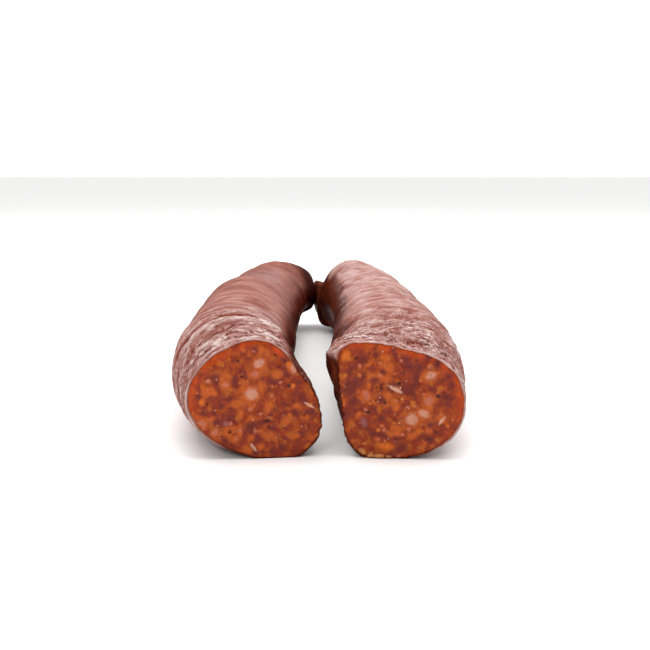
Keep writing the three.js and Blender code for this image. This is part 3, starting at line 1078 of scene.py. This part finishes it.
@dataclass
class Filling:
    """The ground meat in one link: its cut face with grains, and the plain body inside the casing."""

    form: LinkForm
    grains: tuple[Grain, ...]
    node: str
    name: str
    sides: int = 320
    face_rings: int = 84
    body_rings: int = 22
    rim_gap: float = 0.04
    body_inset: float = 1.6
    body_end: float = 7.2
    scattered: tuple[tuple[Tissue, int, float, float], ...] = (
        (Tissue.ORANGE_FAT, 46, 1.4, 3.2),
        (Tissue.MEAT, 46, 1.4, 3.6),
        (Tissue.BRIGHT_FAT, 12, 0.6, 1.5),
        (Tissue.PINK_FAT, 20, 0.7, 1.5),
        (Tissue.PEPPER, 16, 0.4, 0.8),
        (Tissue.PIT, 9, 0.4, 0.8),
        (Tissue.PAINTED_GLINT, 34, 0.2, 0.45),
    )
    rounding: float = 0.15
    rim_width: float = 3.4
    finish: GroundFilling = GroundFilling()

    def rim_clear(self, angle: Array) -> Array:
        """How far the filling's edge is inside the casing's outer skin: the casing's thickness and the gap."""
        return casing_thickness(angle, self.form.seed + 50) + self.rim_gap

    def spread_grains(self) -> tuple[Grain, ...]:
        """The named grains over many scattered ones, and an orange halo under each pale piece of fat."""
        rng = np.random.default_rng(self.form.seed + 70)
        grains = []
        for tissue, count, smallest, largest in self.scattered:
            for _ in range(count):
                away, turn = 16.0 * math.sqrt(rng.random()), FULL_TURN * rng.random()
                length = rng.uniform(smallest, largest)
                width = length * rng.uniform(0.5, 1.0)
                place = (away * math.cos(turn), away * math.sin(turn))
                grains.append(Grain(tissue, *place, length, width, 180 * rng.random()))
        pale = (Tissue.CREAM_FAT, Tissue.PINK_FAT)
        for grain in self.grains:
            if grain.tissue in pale:
                halo = (grain.length * 1.6, grain.width * 1.7)
                grains.append(Grain(Tissue.ORANGE_FAT, grain.right, grain.up, *halo, grain.tilt))
        return (*grains, *self.grains)

    def grain_fields(self, right: Array, up: Array) -> tuple[Array, Array, Array]:
        """How much of each point is grain, the grain's linear colour there, and its height in mm.

        A grain's field falls from 1 to 0 across the edge of its tilted ellipse, and noise pushes the edge about.
        """
        cover = np.zeros(right.shape)
        colour = np.zeros((*right.shape, 3))
        height = np.zeros(right.shape)
        places = np.stack([right, up, np.zeros_like(right)], axis=-1)
        ragged = 0.18 * gradient_noise(places / 1.1, self.form.seed + 71) + 0.12 * gradient_noise(places / 0.55, 72)
        for grain in self.spread_grains():
            code, rise, core = grain.tissue.value
            tilt = math.radians(grain.tilt)
            dx, dy = right - grain.right, up - grain.up
            along = (dx * math.cos(tilt) + dy * math.sin(tilt)) / (0.5 * grain.length)
            across = (dy * math.cos(tilt) - dx * math.sin(tilt)) / (0.5 * grain.width)
            distance = np.sqrt(along**2 + across**2) + ragged
            share = 1 - smoothstep(distance, core, 1.9 - core)
            cover = cover + share * (1 - cover)
            colour = blend(colour, np.array(linear(code)[:3]), share[..., None])
            height = blend(height, rise, share)
        return cover, colour / np.maximum(cover, 1e-3)[..., None], height

    def face_rows(self, surface: LinkSurface, angle: Array, rim: Array) -> Rows:
        """The cut face's rings from near its middle to its edge: even steps of the rim's radius, with relief."""
        share = np.linspace(1 / self.face_rings, 1, self.face_rings)[:, None]
        start = np.zeros((self.face_rings, 1))
        clear = self.rim_clear(angle)
        flat = surface.place(start, angle, rim * share, clear=clear)
        middle = surface.place(start[:1], angle, rim * 0)[0, 0]
        right, up = flat[..., 0] - middle[0], flat[..., 2] - middle[2]
        from_rim = rim * (1 - share)
        cover, colour, height = self.grain_fields(right, up)
        places = np.stack([right, up, 0 * up], axis=-1)
        uneven = 0.22 * gradient_noise(places / 4.5, self.form.seed + 73) + 0.1 * gradient_noise(places / 1.6, 74)
        uneven += 0.05 * gradient_noise(places / 0.7, 75)
        inside = smoothstep(from_rim, 0, 1.2)
        forward = (height + uneven) * blend(0.25, 1.0, inside) - self.rounding * (1 - inside) ** 2
        rows = surface.place(start, angle, rim * share, forward, clear)
        edge = (1 - smoothstep(from_rim, 0.4, self.rim_width)) * (0.75 + 0.9 * gradient_noise(places / 2.5, 76))
        edge = edge * blend(0.1, 1.0, smoothstep(np.sin(angle) + 0.6 * np.cos(angle) + 0 * share, 0.0, 0.7))
        return rows, {"grain": cover, "grain_colour": colour, "rim": np.clip(edge, 0, 1)}

    def body_rows(self, surface: LinkSurface, angle: Array, rim: Array) -> Rows:
        """The rings inside the casing, from just behind the face to the rounded end."""
        depth = surface.length - self.body_end
        share = np.linspace(0, 1, self.body_rings)[:, None]
        from_cut = np.concatenate([[[0.7], [2.0], [4.0]], 4 + (depth - 4) * share[1:] ** 1.3 * 0.9995])
        inner = surface.ring_radius(from_cut, angle, self.body_inset, self.body_end)
        deep = smoothstep(from_cut, 0, 4)
        radius = blend(rim + 0 * from_cut - 0.02, inner, deep)
        rows = surface.place(from_cut, angle, radius, clear=blend(self.rim_clear(angle), self.body_inset, deep))
        zero = np.zeros(rows.shape[:2])
        return rows, {"grain": zero, "grain_colour": np.zeros(rows.shape), "rim": zero + 1}

    def build(self) -> bpy.types.Object:
        """Builds the filling as one closed mesh, from the middle of its face to its rounded end."""
        surface = LinkSurface(self.form)
        angle = np.linspace(0, FULL_TURN, self.sides, endpoint=False)[None, :]
        rim = DriedSkin(surface).rim_radius(angle) - self.rim_clear(angle)
        face, face_values = self.face_rows(surface, angle, rim)
        body, body_values = self.body_rows(surface, angle, rim)
        rows = np.concatenate([face, body])
        attributes = {key: np.concatenate([face_values[key], body_values[key]]) for key in face_values}
        if self.form.side is Side.RIGHT:
            rows = rows[::-1]
            attributes = {key: values[::-1] for key, values in attributes.items()}
        poles = (rows[0].mean(0), rows[-1].mean(0))
        return grid_mesh(self.name, rows, poles, attributes)

    def dress(self, piece: bpy.types.Object) -> None:
        """Gives the filling its finish and its place in the frame."""
        piece.data.materials.append(self.finish.make())
        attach(piece, "root")
        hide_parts(self.node)


@dataclass
class Studio:
    """A pale floor, soft light from all round and above, and the camera. Lengths are in metres."""

    floor_size: float = 60.0
    camera_place: tuple[float, float, float] = (0.0041, -0.3771, 0.078)
    camera_pitch: float = 9.0
    camera_lens: float = 52.6
    back_light: float = 1.13
    front_light: float = 0.2
    finish: PaintedBoard = PaintedBoard()

    def floor(self) -> bpy.types.Object:
        """A square of floor at height 0."""
        half = self.floor_size / 2
        corners = np.array([(-half, -half, 0), (half, -half, 0), (half, half, 0), (-half, half, 0)])
        mesh = bpy.data.meshes.new("floor")
        mesh.from_pydata(corners, [], [(0, 1, 2, 3)])
        board = bpy.data.objects.new("floor", mesh)
        bpy.context.scene.collection.objects.link(board)
        board.data.materials.append(self.finish.make())
        return board

    def softbox(self, name: str, place: Sequence[float], target: Sequence[float], size: float, power: float) -> None:
        """A square area light at a place, turned towards a target."""
        light = bpy.data.lights.new(name, "AREA")
        light.size = size
        light.energy = power
        lamp = bpy.data.objects.new(name, light)
        lamp.location = place
        lamp.visible_camera = False
        x, y, z = (t - p for t, p in zip(target, place))
        lamp.rotation_euler = (math.atan2(math.hypot(x, y), -z), 0, math.atan2(y, x) - math.pi / 2)
        bpy.context.scene.collection.objects.link(lamp)

    def lights(self) -> None:
        """A white room that is dim behind the camera, a softbox above, a low lamp at the back, and one for glints."""
        world = bpy.data.worlds.new("white_room")
        world.use_nodes = True
        add = partial(add_node, world.node_tree)
        direction = add("TexCoord")
        parts = add("SeparateXYZ", links={0: direction.outputs["Object"]})
        open_side = add("Math", {1: 0.8}, {0: parts.outputs["Z"], 2: parts.outputs["Y"]}, operation="MULTIPLY_ADD")
        strength = add(
            "MapRange", {1: -0.7, 2: 0.75, 3: self.front_light, 4: self.back_light}, {0: open_side},
            interpolation_type="SMOOTHSTEP",
        )
        background = world.node_tree.nodes["Background"]
        background.inputs["Color"].default_value = (1, 1, 1, 1)
        world.node_tree.links.new(strength.outputs[0], background.inputs["Strength"])
        bpy.context.scene.world = world
        self.softbox("softbox_above", (0.0, 0.1, 1.1), (0, 0, 0), 1.3, 13.5)
        self.softbox("back_lamp", (0.0, 0.6, 0.06), (0, 0.1, 0), 0.12, 0.5)
        self.softbox("glint_lamp", (-0.2, -0.7, 0.4), (0, -0.12, 0), 0.1, 1.0)

    def camera(self) -> None:
        """The camera in front of the cut faces, looking a little down."""
        data = bpy.data.cameras.new("camera")
        data.lens = self.camera_lens
        data.sensor_width = 36.0
        data.clip_start = 0.01
        data.clip_end = 50.0
        camera = bpy.data.objects.new("camera", data)
        camera.location = self.camera_place
        camera.rotation_euler = (math.radians(90 - self.camera_pitch), 0, 0)
        bpy.context.scene.collection.objects.link(camera)
        bpy.context.scene.camera = camera

    def build(self) -> None:
        """Builds the floor, the lights and the camera, and keeps colours as they are lit."""
        self.camera()
        self.floor()
        self.lights()
        bpy.context.scene.view_settings.view_transform = "Standard"


def main() -> None:
    logging.basicConfig(level=logging.INFO, format="%(name)s: %(message)s")
    Studio().build()
    parts = (
        Casing(),
        Filling(LEFT_FORM, LEFT_GRAINS, "filling_left", "left_filling"),
        Filling(RIGHT_FORM, RIGHT_GRAINS, "filling_right", "right_filling"),
    )
    for part in parts:
        piece = part.build()
        part.dress(piece)
        LOG.info("%s: %d faces", piece.name, len(piece.data.polygons))


if __name__ == "__main__":
    main()
